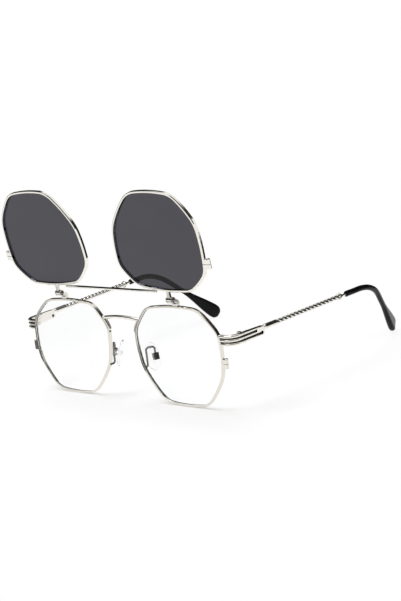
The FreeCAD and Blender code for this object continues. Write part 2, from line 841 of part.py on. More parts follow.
def tinted_front(parts):
    """Everything that flips, built shut and then turned up about its hinge."""
    arcs = flip_outline()
    plug, pieces = eyewire(arcs, flip_rim_width, flip_rim_depth, flip_lock_place_share, flip_height, -1)
    for shape in [plug] + list(pieces.values()):
        shape.translate(Vector(flip_centre, flip_plane, -flip_drop))
    shut = {}
    add_pair(shut, "flip_rim", pieces["rim"])
    add_pair(shut, "sun_lens", pieces["lens"])
    add_pair(shut, "flip_lock_upper", pieces["lock_upper"])
    add_pair(shut, "flip_lock_lower", pieces["lock_lower"])
    add_group(shut, "flip_lock_screws", pieces["lock_screw"])
    add_pair(shut, "flip_knuckle", flip_knuckle(plug))
    shut["flip_bar"] = flip_bar([plug, mirrored(plug)])
    for name, shape in shut.items():
        shape.rotate(flip_hinge_axis(), ACROSS, -flip_open_angle)
        parts[name] = shape


def temples(parts):
    """Hinge leaves, ribbed plates, twisted wires, collars, cores and tips."""
    at_temple = temple_placement().toMatrix()
    front, rear, screw = hinge_pieces()
    outline = outline_wire(lens_outline(), rim_width, 0)
    floor = outline.BoundBox.ZMin - end_piece_level
    add_pair(parts, "hinge_front_leaf", front.transformed(at_temple).cut(parts["end_piece_right"]))
    add_group(parts, "temple_hinge_screws", screw.transformed(at_temple))
    add_pair(parts, "hinge_rear_leaf", rear.transformed(at_temple))
    add_pair(parts, "temple_plate", temple_plate().transformed(at_temple))
    add_pair(parts, "temple_neck", temple_neck().transformed(at_temple))
    add_pair(parts, "temple_twist", temple_twist().transformed(at_temple))
    add_pair(parts, "temple_collar", temple_collar().transformed(at_temple))
    add_pair(parts, "temple_core", temple_core().transformed(at_temple))
    add_pair(parts, "temple_tip", temple_tip(floor).transformed(at_temple))


def main():
    """Build every piece, stand the glasses on the floor and write the files."""
    parts = {}
    clear_front(parts)
    tinted_front(parts)
    temples(parts)
    box = Part.makeCompound(list(parts.values())).optimalBoundingBox(False, False)
    stand = Vector(0, -box.Center.y, -box.ZMin)
    os.makedirs("parts", exist_ok=True)
    for name, shape in parts.items():
        shape.translate(stand)
        shape.exportStep("parts/" + name + ".step")
    print("origin shift", stand)
    print("flip hinge", flip_hinge_axis() + stand)
    print("temple hinge", temple_placement().multVec(hinge_axis_place()) + stand)
    print("nose pad pivot", pad_placement().Base + stand)
    print("nose pad axis", pad_placement().Rotation.multVec(BACK))
    print("size", box.XLength, box.YLength, box.ZLength)
    for name, shape in parts.items():
        print(name, len(shape.Solids), round(shape.Volume, 2), shape.isValid())


main()
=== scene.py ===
"""Looks of a pair of metal glasses with clear lenses and a tinted front that flips up.

Sizes and places are in metres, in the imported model's own frame, and turns are in degrees.
"""

from __future__ import annotations

import json
import logging
import math
from dataclasses import dataclass, field
from enum import Enum
from typing import Any

import bmesh
import bpy
from mathutils import Matrix, Quaternion, Vector

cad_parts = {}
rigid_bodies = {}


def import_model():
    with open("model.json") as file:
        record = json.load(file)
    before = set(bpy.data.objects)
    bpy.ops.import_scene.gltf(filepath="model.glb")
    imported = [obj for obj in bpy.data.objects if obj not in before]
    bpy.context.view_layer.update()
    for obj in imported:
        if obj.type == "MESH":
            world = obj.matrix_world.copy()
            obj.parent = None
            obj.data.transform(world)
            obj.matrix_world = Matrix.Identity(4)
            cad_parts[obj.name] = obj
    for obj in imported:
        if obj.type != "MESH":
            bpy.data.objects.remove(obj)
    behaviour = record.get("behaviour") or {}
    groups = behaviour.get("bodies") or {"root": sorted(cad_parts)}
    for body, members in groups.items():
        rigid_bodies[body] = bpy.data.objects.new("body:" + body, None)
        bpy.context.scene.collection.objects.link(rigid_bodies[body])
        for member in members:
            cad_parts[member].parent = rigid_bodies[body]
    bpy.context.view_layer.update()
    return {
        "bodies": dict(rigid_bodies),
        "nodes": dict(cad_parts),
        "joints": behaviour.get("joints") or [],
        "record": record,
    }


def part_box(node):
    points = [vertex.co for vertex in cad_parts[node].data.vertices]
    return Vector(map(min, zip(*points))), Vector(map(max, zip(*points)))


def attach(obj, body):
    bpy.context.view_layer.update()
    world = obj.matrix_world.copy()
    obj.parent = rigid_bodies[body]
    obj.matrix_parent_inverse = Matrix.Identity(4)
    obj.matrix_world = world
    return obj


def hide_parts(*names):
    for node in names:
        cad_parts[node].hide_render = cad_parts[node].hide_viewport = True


LOG = logging.getLogger("glasses")

Triple = tuple[float, float, float]
Frame = dict[str, Any]
Socket = bpy.types.NodeSocket

MM = 0.001
WHITE: Triple = (1.0, 1.0, 1.0)
EVEN: Triple = (1.0, 1.0, 1.0)
UPWARD: Triple = (0.0, 0.0, 1.0)

# The middle of a noise, where most of its values lie.
NOISE_LOW = 0.3
NOISE_HIGH = 0.7

# Vector sums whose result is one number.
NUMBER_SUMS = ("DISTANCE", "DOT_PRODUCT")

# Least divisor, so that no sum divides by zero.
TINY = 1e-6


class Side(Enum):
    """Which half of the glasses a piece belongs to, seen from the front."""

    LEFT = -1
    RIGHT = 1

    @property
    def word(self) -> str:
        """This side as it stands in the names of bodies."""
        return self.name.lower()

    @property
    def suffix(self) -> str:
        """Ending of the names of this side's nodes."""
        return "_" + self.word


class Slot(Enum):
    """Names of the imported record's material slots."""

    SILVER = "polished_silver"
    STEEL = "screw_steel"
    TINTED_LENS = "tinted_lens"
    PAD = "clear_pad"


class Graph:
    """A node tree that is filled by adding nodes and naming the sockets to join."""

    def __init__(self, tree: bpy.types.NodeTree) -> None:
        """Take over a tree and empty it.

        Args:
            tree: The tree to fill.
        """
        self.tree = tree
        tree.nodes.clear()

    def add(self, kind: str, inputs: dict[Any, Any] | None = None, **settings: Any) -> bpy.types.Node:
        """Add a node.

        Args:
            kind: The node's type name.
            inputs: Values or output sockets for its inputs, by name or number.
            **settings: Properties of the node.

        Returns:
            The new node.
        """
        node = self.tree.nodes.new(kind)
        for name, value in settings.items():
            setattr(node, name, value)
        for key, value in (inputs or {}).items():
            if isinstance(value, Socket):
                self.tree.links.new(value, node.inputs[key])
            else:
                node.inputs[key].default_value = value
        return node

    def math(self, operation: str, *values: Any) -> Socket:
        """Add a Math node.

        Args:
            operation: The sum it does.
            *values: Numbers or output sockets.

        Returns:
            Its output socket.
        """
        node = self.add("ShaderNodeMath", dict(enumerate(values)), operation=operation)
        return node.outputs[0]

    def vector(self, operation: str, *values: Any) -> Socket:
        """Add a Vector Math node.

        Args:
            operation: The sum it does.
            *values: Vectors or output sockets.

        Returns:
            Its output socket, a number for the sums that give one.
        """
        node = self.add("ShaderNodeVectorMath", dict(enumerate(values)), operation=operation)
        return node.outputs["Value" if operation in NUMBER_SUMS else "Vector"]

    def ramp(self, value: Socket, start: float, end: float, first: float = 0.0, last: float = 1.0,
             smooth: bool = False) -> Socket:
        """Map a range of values to another one, and keep to its ends beyond it.

        Args:
            value: The value to map.
            start: Where the range starts.
            end: Where it ends.
            first: Result at the start.
            last: Result at the end.
            smooth: Whether the result eases in and out.

        Returns:
            The mapped value.
        """
        inputs = {"Value": value, "From Min": start, "From Max": end, "To Min": first, "To Max": last}
        kind = "SMOOTHSTEP" if smooth else "LINEAR"
        return self.add("ShaderNodeMapRange", inputs, interpolation_type=kind).outputs["Result"]

    def coordinates(self) -> Any:
        """The surface's own places and normals, by name."""
        return self.add("ShaderNodeTexCoord").outputs

    def light_path(self) -> Any:
        """What is known of the ray that meets the surface, by name."""
        return self.add("ShaderNodeLightPath").outputs

    def split(self, vector: Socket) -> Any:
        """The X, Y and Z of a vector, by name."""
        return self.add("ShaderNodeSeparateXYZ", {0: vector}).outputs

    def join(self, **parts: Any) -> Socket:
        """A vector of the given X, Y and Z, zero where none is given."""
        return self.add("ShaderNodeCombineXYZ", parts).outputs["Vector"]

    def mix(self, share: Socket, first: Any, second: Any) -> Socket:
        """Mix two colours."""
        inputs = {"Factor": share, "A": first, "B": second}
        return self.add("ShaderNodeMix", inputs, data_type="RGBA").outputs["Result"]

    def bump(self, height: Socket, distance: float, strength: float) -> Socket:
        """The normal of a surface with a fine relief."""
        inputs = {"Height": height, "Distance": distance, "Strength": strength}
        return self.add("ShaderNodeBump", inputs).outputs["Normal"]

    def blend(self, share: Socket, first: bpy.types.Node, second: bpy.types.Node) -> bpy.types.Node:
        """Mix two shaders."""
        return self.add("ShaderNodeMixShader", {0: share, 1: first.outputs[0], 2: second.outputs[0]})

    def surface(self, shader: bpy.types.Node) -> None:
        """End a material's graph in its surface."""
        self.add("ShaderNodeOutputMaterial", {"Surface": shader.outputs[0]})


def new_material(name: str) -> tuple[bpy.types.Material, Graph]:
    """Make an empty node material.

    Args:
        name: Its name.

    Returns:
        The material and its graph.
    """
    material = bpy.data.materials.new(name)
    material.use_nodes = True
    return material, Graph(material.node_tree)


def noise(graph: Graph, scale: float, stretch: Triple = EVEN, detail: float = 3.0) -> Socket:
    """Noise on the piece's own Object coordinates.

    Args:
        graph: The graph to add to.
        scale: Cells per metre.
        stretch: Scale of each axis before the noise.
        detail: Octaves of the noise.

    Returns:
        The noise value.
    """
    place = graph.coordinates()["Object"]
    mapped = graph.add("ShaderNodeMapping", {"Vector": place, "Scale": stretch}).outputs["Vector"]
    inputs = {"Vector": mapped, "Scale": scale, "Detail": detail}
    return graph.add("ShaderNodeTexNoise", inputs).outputs["Fac"]


def between(graph: Graph, value: Socket, low: float, high: float) -> Socket:
    """Spread the middle of a noise over a range."""
    return graph.ramp(value, NOISE_LOW, NOISE_HIGH, low, high)


def tint(graph: Graph, value: Socket, low: Triple, high: Triple) -> Socket:
    """Blend two colours by a noise."""
    return graph.mix(between(graph, value, 0.0, 1.0), (*low, 1.0), (*high, 1.0))


def shaded(colour: Triple, share: float) -> Triple:
    """A colour made darker by a share of itself."""
    return (colour[0] * share, colour[1] * share, colour[2] * share)


@dataclass(frozen=True)
class MetalFinish:
    """Plated metal with faint polishing marks."""

    name: str
    tone: Triple
    polish: float
    haze: float
    stain_share: float = 0.93
    stain_scale: float = 90.0
    haze_scale: float = 650.0
    mark_scale: float = 2600.0
    mark_stretch: Triple = (1.0, 0.2, 1.0)
    mark_height: float = 0.004 * MM
    mark_strength: float = 0.3

    def colour(self, graph: Graph) -> Socket:
        """The metal's tone with its faint stains."""
        stained = shaded(self.tone, self.stain_share)
        return tint(graph, noise(graph, self.stain_scale), stained, self.tone)

    def material(self) -> bpy.types.Material:
        """Build the finish.

        Returns:
            The material.
        """
        material, graph = new_material(self.name)
        marks = noise(graph, self.mark_scale, self.mark_stretch)
        graph.surface(graph.add("ShaderNodeBsdfPrincipled", {
            "Base Color": self.colour(graph),
            "Metallic": 1.0,
            "Roughness": between(graph, noise(graph, self.haze_scale), self.polish, self.haze),
            "Normal": graph.bump(marks, self.mark_height, self.mark_strength),
        }))
        return material


@dataclass(frozen=True)
class PaintedShadeFinish(MetalFinish):
    """Plated metal with painted shade: its tone is darkened where a mask says, standing for shade and
    dark reflections.
    """

    # Colour of the painted shade.
    painted_shade_tone: Triple = (0.010, 0.010, 0.010)

    def painted_shade(self, graph: Graph) -> Socket:
        """One where shade is painted and zero on the polished surface."""
        raise NotImplementedError

    def colour(self, graph: Graph) -> Socket:
        """The metal's tone, darkened by the painted shade."""
        return graph.mix(self.painted_shade(graph), super().colour(graph), (*self.painted_shade_tone, 1.0))


@dataclass(frozen=True)
class RibbedFinish(PaintedShadeFinish):
    """Metal with half-round ribs on its outer face, with painted shade in the two grooves between them
    and in the hole.
    """

    middle_level: float = 33.335 * MM
    groove_level: float = 0.9 * MM
    groove_half: float = 0.36 * MM
    groove_edge: float = 0.10 * MM
    upper_end: float = -48.85 * MM
    lower_end: float = -45.5 * MM
    least_outward: float = 0.1
    hole_radius: float = 0.82 * MM

    def painted_shade(self, graph: Graph) -> Socket:
        """Painted shade: one in the two grooves of the outer face, as far back as each groove runs, and
        in the hole.

        Args:
            graph: The graph to add to.

        Returns:
            The share.
        """
        texture = graph.coordinates()
        place = graph.split(texture["Object"])
        facing = graph.split(texture["Normal"])
        height = graph.math("SUBTRACT", place["Z"], self.middle_level)
        aside = graph.math("SUBTRACT", graph.math("ABSOLUTE", height), self.groove_level)
        dark_half = self.groove_half - self.groove_edge
        groove = graph.ramp(graph.math("ABSOLUTE", aside), dark_half, self.groove_half, 1.0, 0.0)
        upper = graph.math("GREATER_THAN", height, 0.0)
        end = graph.math("MULTIPLY_ADD", upper, self.upper_end - self.lower_end, self.lower_end)
        ahead = graph.math("LESS_THAN", place["Y"], end)
        sideways = graph.math("MULTIPLY", facing["X"], graph.math("SIGN", place["X"]))
        outward = graph.math("SUBTRACT", sideways, facing["Y"])
        shown = graph.math("MULTIPLY", ahead, graph.math("GREATER_THAN", outward, self.least_outward))
        grooves = graph.math("MULTIPLY", groove, shown)
        hole_middle = (0.0, self.lower_end, self.middle_level - self.groove_level)
        away = graph.vector("DISTANCE", graph.join(Y=place["Y"], Z=place["Z"]), hole_middle)
        return graph.math("MAXIMUM", grooves, graph.math("LESS_THAN", away, self.hole_radius))


@dataclass(frozen=True)
class LensWallShadeFinish(PaintedShadeFinish):
    """Rim metal with painted shade on the wall round a tinted lens."""

    lens_middle: Triple = (36.47 * MM, -73.0 * MM, 79.94 * MM)
    least_inward: float = 0.5

    def painted_shade(self, graph: Graph) -> Socket:
        """Painted shade: one where the rim faces its lens.

        Args:
            graph: The graph to add to.

        Returns:
            The share.
        """
        texture = graph.coordinates()
        side = graph.math("SIGN", graph.split(texture["Object"])["X"])
        x, y, z = self.lens_middle
        middle = graph.join(X=graph.math("MULTIPLY", side, x), Y=y, Z=z)
        way = graph.vector("NORMALIZE", graph.vector("SUBTRACT", middle, texture["Object"]))
        facing = graph.vector("DOT_PRODUCT", way, texture["Normal"])
        return graph.math("GREATER_THAN", facing, self.least_inward)


@dataclass(frozen=True)
class TopReflectionFinish(PaintedShadeFinish):
    """Metal of a round bar with a painted dark reflection along its upper side, except at its ends."""

    dark_from: float = -0.10
    dark_to: float = 0.25
    end_from: float = 20.5 * MM
    end_to: float = 23.5 * MM

    def painted_shade(self, graph: Graph) -> Socket:
        """Painted reflection: one where the bar faces up between its ends.

        Args:
            graph: The graph to add to.

        Returns:
            The share.
        """
        texture = graph.coordinates()
        facing_up = graph.split(texture["Normal"])["Z"]
        upper = graph.ramp(facing_up, self.dark_from, self.dark_to, smooth=True)
        aside = graph.math("ABSOLUTE", graph.split(texture["Object"])["X"])
        inner = graph.ramp(aside, self.end_from, self.end_to, 1.0, 0.0)
        return graph.math("MULTIPLY", upper, inner)


@dataclass(frozen=True)
class TwistedFinish(PaintedShadeFinish):
    """Metal strands with painted shade in the valley where they meet, darkest on the temple's outer
    side.
    """

    valley_reach: float = 0.80 * MM
    crest_reach: float = 1.10 * MM
    inner_share: float = 0.25
    inner_facing: float = -0.5
    outer_facing: float = 0.0

    def painted_shade(self, graph: Graph) -> Socket:
        """Painted shade: one in the outer side's valleys, by the section's reach that the strands carry.

        Args:
            graph: The graph to add to.

        Returns:
            The share.
        """
        reach = graph.add("ShaderNodeAttribute", attribute_name="reach").outputs["Fac"]
        valley = graph.ramp(reach, self.valley_reach, self.crest_reach, 1.0, 0.0, smooth=True)
        texture = graph.coordinates()
        side = graph.math("SIGN", graph.split(texture["Object"])["X"])
        facing = graph.math("MULTIPLY", graph.split(texture["Normal"])["X"], side)
        outer = graph.ramp(facing, self.inner_facing, self.outer_facing, self.inner_share)
        return graph.math("MULTIPLY", valley, outer)


@dataclass(frozen=True)
class GlassFinish:
    """Clear or tinted glass that lets lamps through."""

    name: str
    colour: Triple
    passed: Triple
    ior: float
    smear: float
    haze: float = 0.0
    smear_scale: float = 60.0

    def material(self) -> bpy.types.Material:
        """Build the finish.

        Returns:
            The material.
        """
        material, graph = new_material(self.name)
        smeared = shaded(self.colour, 1.0 - self.smear)
        glass = graph.add("ShaderNodeBsdfPrincipled", {
            "Base Color": tint(graph, noise(graph, self.smear_scale), smeared, self.colour),
            "Roughness": self.haze,
            "IOR": self.ior,
            "Transmission Weight": 1.0,
        })
        open_glass = graph.add("ShaderNodeBsdfTransparent", {"Color": (*self.passed, 1.0)})
        graph.surface(graph.blend(graph.light_path()["Is Shadow Ray"], glass, open_glass))
        return material


@dataclass(frozen=True)
class AcetateFinish:
    """Tumbled black acetate, almost even, with a polished skin."""

    name: str
    dark: Triple
    light: Triple
    polish: float
    haze: float
    gloss: float = 0.10
    swirl_scale: float = 140.0
    swirl_stretch: Triple = (1.0, 0.4, 1.0)
    haze_scale: float = 1260.0
    ripple_scale: float = 420.0
    ripple_detail: float = 1.0
    ripple_height: float = 0.02 * MM
    ripple_strength: float = 0.25

    def material(self) -> bpy.types.Material:
        """Build the finish.

        Returns:
            The material.
        """
        material, graph = new_material(self.name)
        swirl = noise(graph, self.swirl_scale, self.swirl_stretch)
        ripple = noise(graph, self.ripple_scale, detail=self.ripple_detail)
        graph.surface(graph.add("ShaderNodeBsdfPrincipled", {
            "Base Color": tint(graph, swirl, self.dark, self.light),
            "Roughness": between(graph, noise(graph, self.haze_scale), self.polish, self.haze),
            "Specular IOR Level": self.gloss,
            "Normal": graph.bump(ripple, self.ripple_height, self.ripple_strength),
        }))
        return material


BRIGHT_SILVER: Triple = (0.90, 0.875, 0.81)
WARM_SILVER: Triple = (0.88, 0.855, 0.79)


class Finish(Enum):
    """The finishes of the glasses."""

    # The clear front's silver is the flip's metal toned down, as painted shade.
    FRONT_SILVER = MetalFinish("front_silver", tone=(0.81, 0.78, 0.71), polish=0.05, haze=0.13)
    FLIP_SILVER = MetalFinish("flip_silver", tone=BRIGHT_SILVER, polish=0.04, haze=0.10)
    FLIP_RIM_SILVER = LensWallShadeFinish("flip_rim_silver", tone=BRIGHT_SILVER, polish=0.04, haze=0.10)
    BAR_SILVER = TopReflectionFinish("bar_silver", tone=BRIGHT_SILVER, polish=0.04, haze=0.10)
    # Silver toned down to dark grey all over, a painted dark reflection on small polished parts.
    DARK_NICKEL = MetalFinish("dark_nickel", tone=(0.20, 0.195, 0.19), polish=0.06, haze=0.14)
    TEMPLE_SILVER = MetalFinish("temple_silver", tone=WARM_SILVER, polish=0.04, haze=0.10)
    RIBBED_SILVER = RibbedFinish("ribbed_silver", tone=(0.89, 0.865, 0.80), polish=0.04, haze=0.10)
    TWISTED_SILVER = TwistedFinish("twisted_silver", tone=WARM_SILVER, polish=0.05, haze=0.12)
    STEEL = MetalFinish("turned_steel", tone=(0.70, 0.685, 0.65), polish=0.14, haze=0.26)
    CLEAR = GlassFinish(
        "clear_lens_glass", colour=(0.985, 0.99, 0.99), passed=(0.96, 0.97, 0.97), ior=1.20, smear=0.01,
    )
    SMOKE = GlassFinish(
        "smoke_lens_glass", colour=(0.065, 0.063, 0.075), passed=(0.09, 0.085, 0.10), ior=1.30,
        smear=0.05,
    )
    SILICONE = GlassFinish(
        "silicone_pad", colour=(0.97, 0.975, 0.97), passed=(0.92, 0.93, 0.92), ior=1.24, smear=0.03,
        haze=0.12, smear_scale=500.0,
    )
    ACETATE = AcetateFinish(
        "black_acetate", dark=(0.003, 0.003, 0.004), light=(0.007, 0.007, 0.008), polish=0.10, haze=0.20,
    )

    def material(self) -> bpy.types.Material:
        """The finish's material, built on first use."""
        return bpy.data.materials.get(self.value.name) or self.value.material()


def dress(frame: Frame, names: list[str], finish: Finish) -> None:
    """Give CAD nodes a finish.

    Args:
        frame: The loaded frame.
        names: The nodes' names.
        finish: The finish they all take.
    """
    for name in names:
        for slot in frame["nodes"][name].material_slots:
            slot.material = finish.material()
        LOG.info("%s wears %s", name, finish.value.name)


def both(*stems: str) -> list[str]:
    """The left and right names of paired nodes."""
    return [stem + side.suffix for stem in stems for side in Side]


def add_object(name: str, data: Any) -> bpy.types.Object:
    """Put a mesh, a lamp or a camera into the scene.

    Args:
        name: The new object's name.
        data: What it shows.

    Returns:
        The object, at the origin.
    """
    item = bpy.data.objects.new(name, data)
    bpy.context.scene.collection.objects.link(item)
    return item


def finished_mesh(name: str, shape: bmesh.types.BMesh, material: bpy.types.Material) -> bpy.types.Mesh:
    """Turn a worked shape into a mesh and free the shape.

    Args:
        name: The mesh's name.
        shape: The worked shape.
        material: The one material that it wears.

    Returns:
        The mesh.
    """
    mesh = bpy.data.meshes.new(name)
    shape.to_mesh(mesh)
    shape.free()
    mesh.materials.append(material)
    return mesh


def add_piece(name: str, mesh: bpy.types.Mesh, body: str, nodes: list[str]) -> None:
    """Put a finished mesh into the scene as a piece that stands for CAD nodes.

    Args:
        name: The piece's name.
        mesh: Its mesh, in place.
        body: The CAD body that it rides on.
        nodes: The CAD nodes that it stands for.
    """
    piece = add_object(name, mesh)
    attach(piece, body)
    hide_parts(*nodes)
    LOG.info("%s stands for %s, %d faces", name, ", ".join(nodes), len(mesh.polygons))


class Tree(Graph):
    """A Geometry Nodes tree with named sizes as its inputs."""

    def __init__(self, name: str, sizes: dict[str, Any]) -> None:
        """Make a tree.

        Args:
            name: Its name.
            sizes: Its inputs' names and values, numbers or vectors.
        """
        super().__init__(bpy.data.node_groups.new(name, "GeometryNodeTree"))
        face = self.tree.interface
        face.new_socket("Geometry", in_out="INPUT", socket_type="NodeSocketGeometry")
        face.new_socket("Geometry", in_out="OUTPUT", socket_type="NodeSocketGeometry")
        self.values: dict[str, Any] = {}
        for label, value in sizes.items():
            kind = "NodeSocketFloat" if isinstance(value, float) else "NodeSocketVector"
            self.values[face.new_socket(label, in_out="INPUT", socket_type=kind).identifier] = value
        self.size = self.add("NodeGroupInput").outputs

    def lifted(self, kind: str, sizes: dict[str, Any], height: Socket) -> Socket:
        """Add a simple solid and lift it.

        Args:
            kind: The type name of the solid's node.
            sizes: Its sizes.
            height: How far up it goes.

        Returns:
            The lifted solid.
        """
        solid = self.add(kind, sizes).outputs["Mesh"]
        inputs = {"Geometry": solid, "Translation": self.join(Z=height)}
        return self.add("GeometryNodeTransform", inputs).outputs[0]

    def close(self, shape: Socket, finish: Finish) -> None:
        """Realize the instances, set the material and join the output.

        Args:
            shape: The geometry to give out.
            finish: The finish that it wears.
        """
        whole = self.add("GeometryNodeRealizeInstances", {0: shape}).outputs[0]
        dressed = self.add("GeometryNodeSetMaterial", {"Geometry": whole, "Material": finish.material()})
        self.add("NodeGroupOutput", {0: dressed.outputs[0]})

    def grow(self, seed: bpy.types.Mesh) -> bpy.types.Mesh:
        """Run the tree on a mesh.

        Args:
            seed: The mesh that it starts from.

        Returns:
            The result as a plain mesh.
        """
        carrier = add_object(self.tree.name, seed)
        modifier = carrier.modifiers.new(self.tree.name, "NODES")
        modifier.node_group = self.tree
        for identifier, value in self.values.items():
            modifier[identifier] = value
        graph = bpy.context.evaluated_depsgraph_get()
        mesh = bpy.data.meshes.new_from_object(carrier.evaluated_get(graph))
        carrier.modifiers.remove(modifier)
        bpy.data.objects.remove(carrier)
        return mesh


@dataclass(frozen=True)
class ScrewSize:
    """Sizes of a screw, apart from its length."""

    shaft_radius: float
    head_radius: float
    head_height: float


@dataclass
class SlottedScrews:
    """A pair of slotted screws, made once and set at each seat of a CAD group."""

    node: str
    body: str
    axis: Triple
    screw: ScrewSize
    mirrored_axis: bool = False
    slot_share: float = 0.30
    slot_depth_share: float = 0.55
    blade_share: float = 3.0
    bevel_share: float = 0.22
    sides: int = 40

    def seats(self, frame: Frame) -> list[tuple[Vector, Vector, float]]:
        """Read each screw's foot, direction towards its head and length from the CAD group.

        Args:
            frame: The loaded frame.

        Returns:
            Foot, direction and length of the left and the right screw.
        """
        found = []
        points = [vertex.co for vertex in frame["nodes"][self.node].data.vertices]
        for side in Side:
            own = [point for point in points if point.x * side.value > 0]
            axis = Vector(self.axis).normalized()
            if self.mirrored_axis:
                axis.x *= side.value
            first = axis.orthogonal().normalized()
            second = axis.cross(first)
            middle = Vector()
            for way in (first, second):
                reach = [point.dot(way) for point in own]
                middle += way * ((min(reach) + max(reach)) / 2)
            heights = [point.dot(axis) for point in own]
            low, high = min(heights), max(heights)
            half = (low + high) / 2
            wide = max(own, key=lambda point: (point - middle - axis * point.dot(axis)).length)
            if wide.dot(axis) > half:
                found.append((middle + axis * low, axis, high - low))
            else:
                found.append((middle + axis * high, -axis, high - low))
        return found

    def tree(self, length: float) -> Tree:
        """Build the screw and its setting out.

        Args:
            length: The screw's whole length.

        Returns:
            The tree.
        """
        tree = Tree(self.node, {
            "Shaft Radius": self.screw.shaft_radius,
            "Head Radius": self.screw.head_radius,
            "Head Height": self.screw.head_height,
            "Length": length,
        })
        size = tree.size
        bevel = tree.math("MULTIPLY", size["Head Height"], self.bevel_share)
        under = tree.math("SUBTRACT", size["Length"], size["Head Height"])
        straight = tree.math("SUBTRACT", size["Head Height"], bevel)
        shank = tree.lifted("GeometryNodeMeshCylinder", {
            "Vertices": self.sides, "Radius": size["Shaft Radius"], "Depth": under,
        }, tree.math("MULTIPLY", under, 0.5))
        disc = tree.lifted("GeometryNodeMeshCylinder", {
            "Vertices": self.sides, "Radius": size["Head Radius"], "Depth": straight,
        }, tree.math("MULTIPLY_ADD", straight, 0.5, under))
        crown = tree.lifted("GeometryNodeMeshCone", {
            "Vertices": self.sides,
            "Radius Bottom": size["Head Radius"],
            "Radius Top": tree.math("SUBTRACT", size["Head Radius"], bevel),
            "Depth": bevel,
        }, tree.math("ADD", under, straight))
        solid = tree.add("GeometryNodeMeshBoolean", operation="UNION", solver="EXACT")
        for part in (shank, disc, crown):
            tree.tree.links.new(part, solid.inputs["Mesh 2"])
        # The blade's middle is at the head's top, so the blade is twice as deep as the slot.
        block = tree.join(
            X=tree.math("MULTIPLY", size["Head Radius"], self.blade_share),
            Y=tree.math("MULTIPLY", size["Head Radius"], self.slot_share),
            Z=tree.math("MULTIPLY", size["Head Height"], 2.0 * self.slot_depth_share),
        )
        blade = tree.lifted("GeometryNodeMeshCube", {"Size": block}, size["Length"])
        slotted = tree.add("GeometryNodeMeshBoolean", {
            "Mesh 1": solid.outputs["Mesh"], "Mesh 2": blade,
        }, operation="DIFFERENCE", solver="EXACT").outputs["Mesh"]
        aim = tree.add("GeometryNodeInputNamedAttribute", {"Name": "aim"}, data_type="FLOAT_VECTOR")
        turn = tree.add("FunctionNodeAlignRotationToVector", {"Vector": aim.outputs[0]}, axis="Z")
        copies = tree.add("GeometryNodeInstanceOnPoints", {
            "Points": size["Geometry"], "Instance": slotted, "Rotation": turn.outputs[0],
        }).outputs[0]
        tree.close(copies, Finish.STEEL)
        return tree

    def build(self, frame: Frame) -> None:
        """Make the screws and let them stand for the CAD group.

        Args:
            frame: The loaded frame.
        """
        seats = self.seats(frame)
        seed = bpy.data.meshes.new(self.node + "_seats")
        seed.from_pydata([foot for foot, _, _ in seats], [], [])
        aims = seed.attributes.new("aim", "FLOAT_VECTOR", "POINT")
        for index, (_, way, _) in enumerate(seats):
            aims.data[index].vector = way
        mesh = self.tree(seats[0][2]).grow(seed)
        add_piece("slotted_" + self.node, mesh, self.body, [self.node])


